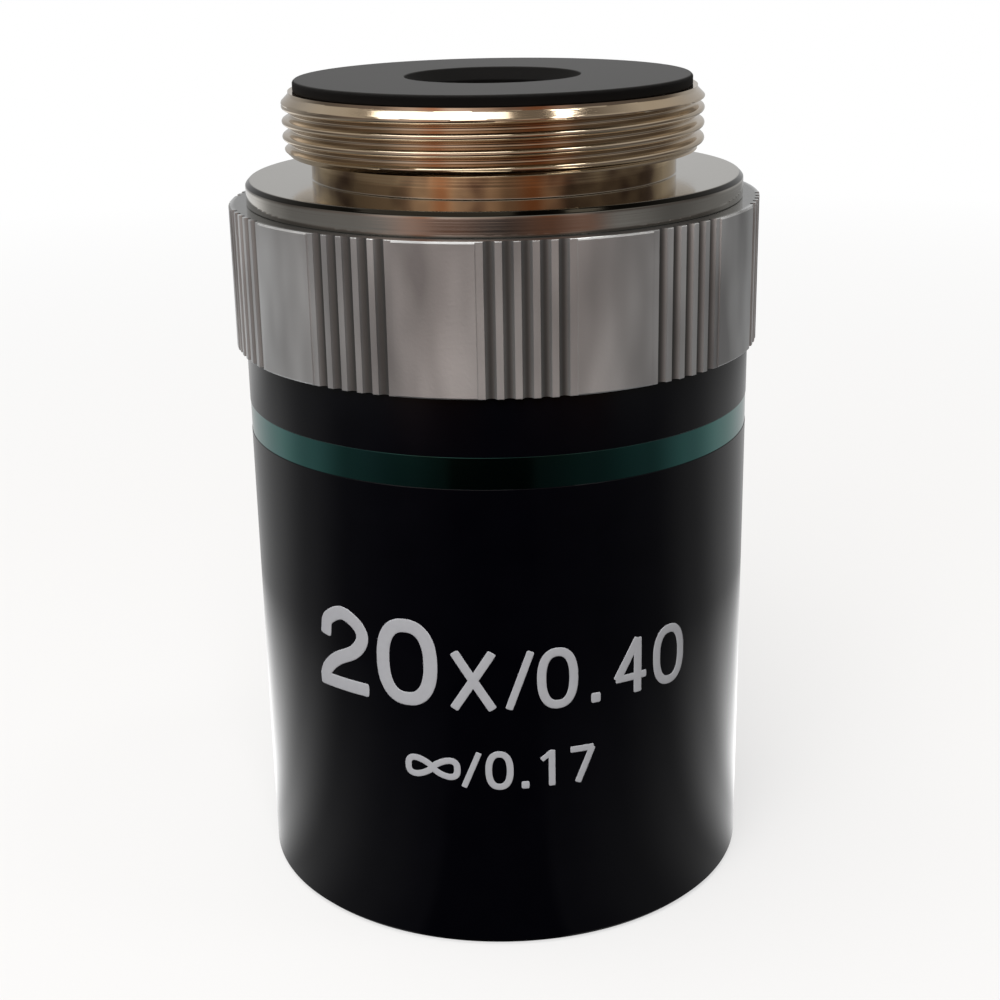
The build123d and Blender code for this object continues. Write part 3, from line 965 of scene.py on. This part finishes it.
# %% Table in reflections
foot_boost = 4.6
near = room_ramp(tree, place, near_room)
far = room_ramp(tree, place, far_room)
outer = room_ramp(tree, place, outer_room)
to_far = reach_ramp(tree, place, 0.095, 0.13)
to_outer = reach_ramp(tree, place, 0.228, 0.25)
middle = add(tree, "Mix", {0: to_far, mix_a: near, mix_b: far}, data_type="RGBA").outputs[mix_out]
reflected = add(tree, "Mix", {0: to_outer, mix_a: middle, mix_b: outer}, data_type="RGBA").outputs[mix_out]
at_foot = reach_ramp(tree, place, 0.018, 0.045, foot_boost, 1.0)
mirrored = add(tree, "Emission", {"Color": reflected, "Strength": at_foot}).outputs[0]
shade = add(tree, "MixShader", {0: path.outputs["Is Camera Ray"], 1: mirrored, 2: seen})
finish_with(white_table, shade)
sheet.materials.append(white_table)

# %% [markdown]
# The world is the same room, seen past the table's edge. Over it hangs a pale dome with a dim patch at the
# top, and the flat faces mirror that. The camera again sees plain white.

# %% World
dome = (0.5, 0.48, 0.45, 1)
dim_patch = (0.17, 0.15, 0.13, 1)
world = bpy.data.worlds.new("studio_room")
world.use_nodes = True
bpy.context.scene.world = world
tree = world.node_tree
tree.nodes.clear()
direction = add(tree, "TexCoord").outputs["Generated"]
seen_directly = add(tree, "LightPath").outputs["Is Camera Ray"]
upness = add(tree, "SeparateXYZ", {0: direction}).outputs[2]
to_dome = add(tree, "MapRange", {"Value": upness, "From Min": 0.3, "From Max": 0.55}).outputs[0]
to_patch = add(tree, "MapRange", {"Value": upness, "From Min": 0.7, "From Max": 0.88}).outputs[0]
walls = room_ramp(tree, direction, outer_room)
room = add(tree, "Mix", {0: to_dome, mix_a: walls, mix_b: dome}, data_type="RGBA").outputs[mix_out]
room = add(tree, "Mix", {0: to_patch, mix_a: room, mix_b: dim_patch}, data_type="RGBA").outputs[mix_out]
room = add(tree, "Mix", {0: seen_directly, mix_a: room, mix_b: pure_white}, data_type="RGBA").outputs[mix_out]
light = add(tree, "Background", {"Color": room, "Strength": 1.0})
add(tree, "OutputWorld", {"Surface": light.outputs[0]})
print("world", len(tree.nodes), "nodes")

# %% [markdown]
# Three soft lamps do the rest: a wide one and a small one overhead, whose reflections draw the bright spots
# on the thread's lead-in, and a gentle one high in front that fills the numbers and the satin ring. The last
# one is kept out of reflections, where it would show as a white square in the lacquer.


# %% Lamps
def soft_lamp(name, place, size, watts, colour):
    """Square area lamp at a place, turned so that it shines at the middle of the object, all in metres.

    Its back points from the aim to the lamp, and its side is square to that and to the object's depth.
    """
    light = bpy.data.lights.new(name, "AREA")
    light.size = size
    light.energy = watts
    light.color = colour
    lamp = bpy.data.objects.new(name, light)
    away = np.array(place) - np.array(lamp_aim)
    away /= np.linalg.norm(away)
    side = np.cross((0.0, 1.0, 0.0), away)
    side /= np.linalg.norm(side)
    turned = Matrix(np.stack([side, np.cross(away, side), away], -1).tolist()).to_4x4()
    turned.translation = place
    lamp.matrix_world = turned
    bpy.context.scene.collection.objects.link(lamp)
    print(name, watts, "W")
    return lamp


lamp_aim = (0, 0, 0.03)
warm_white = (1.0, 0.98, 0.95)
clear_white = (1.0, 0.99, 0.98)
soft_lamp("overhead_lamp", (-0.15, -0.02, 0.6), size=0.42, watts=1.6, colour=warm_white)
soft_lamp("small_overhead_lamp", (0.25, -0.05, 0.6), size=0.1, watts=0.25, colour=warm_white)
fill = soft_lamp("front_fill_lamp", (-0.10, -0.45, 0.5), size=0.5, watts=5.5, colour=clear_white)
fill.visible_glossy = False

# %% [markdown]
# ## Camera
#
# The camera stands 86 mm from the axis and 48 mm above the table, and looks 18.8 degrees down. Its three axes
# were found from the outlines of the rings: they are a hair off level, as in a picture held by hand.

# %% Camera
lens = bpy.data.cameras.new("camera")
lens.lens = 63.07
lens.sensor_width = 36.0
lens.clip_start = 0.005
camera = bpy.data.objects.new("camera", lens)
camera_place = (0.0, -0.085648, 0.047635)
right = np.array([0.99984, -0.0058, -0.01704])
up = np.array([0.0180, 0.3221, 0.9465])
up -= right * (up @ right) / (right @ right)
right, up = right / np.linalg.norm(right), up / np.linalg.norm(up)
pose = Matrix(np.stack([right, up, np.cross(right, up)], -1).tolist()).to_4x4()
pose.translation = camera_place
camera.matrix_world = pose
bpy.context.scene.collection.objects.link(camera)
bpy.context.scene.camera = camera
bpy.context.scene.view_settings.view_transform = "Standard"
print("camera at", camera_place)
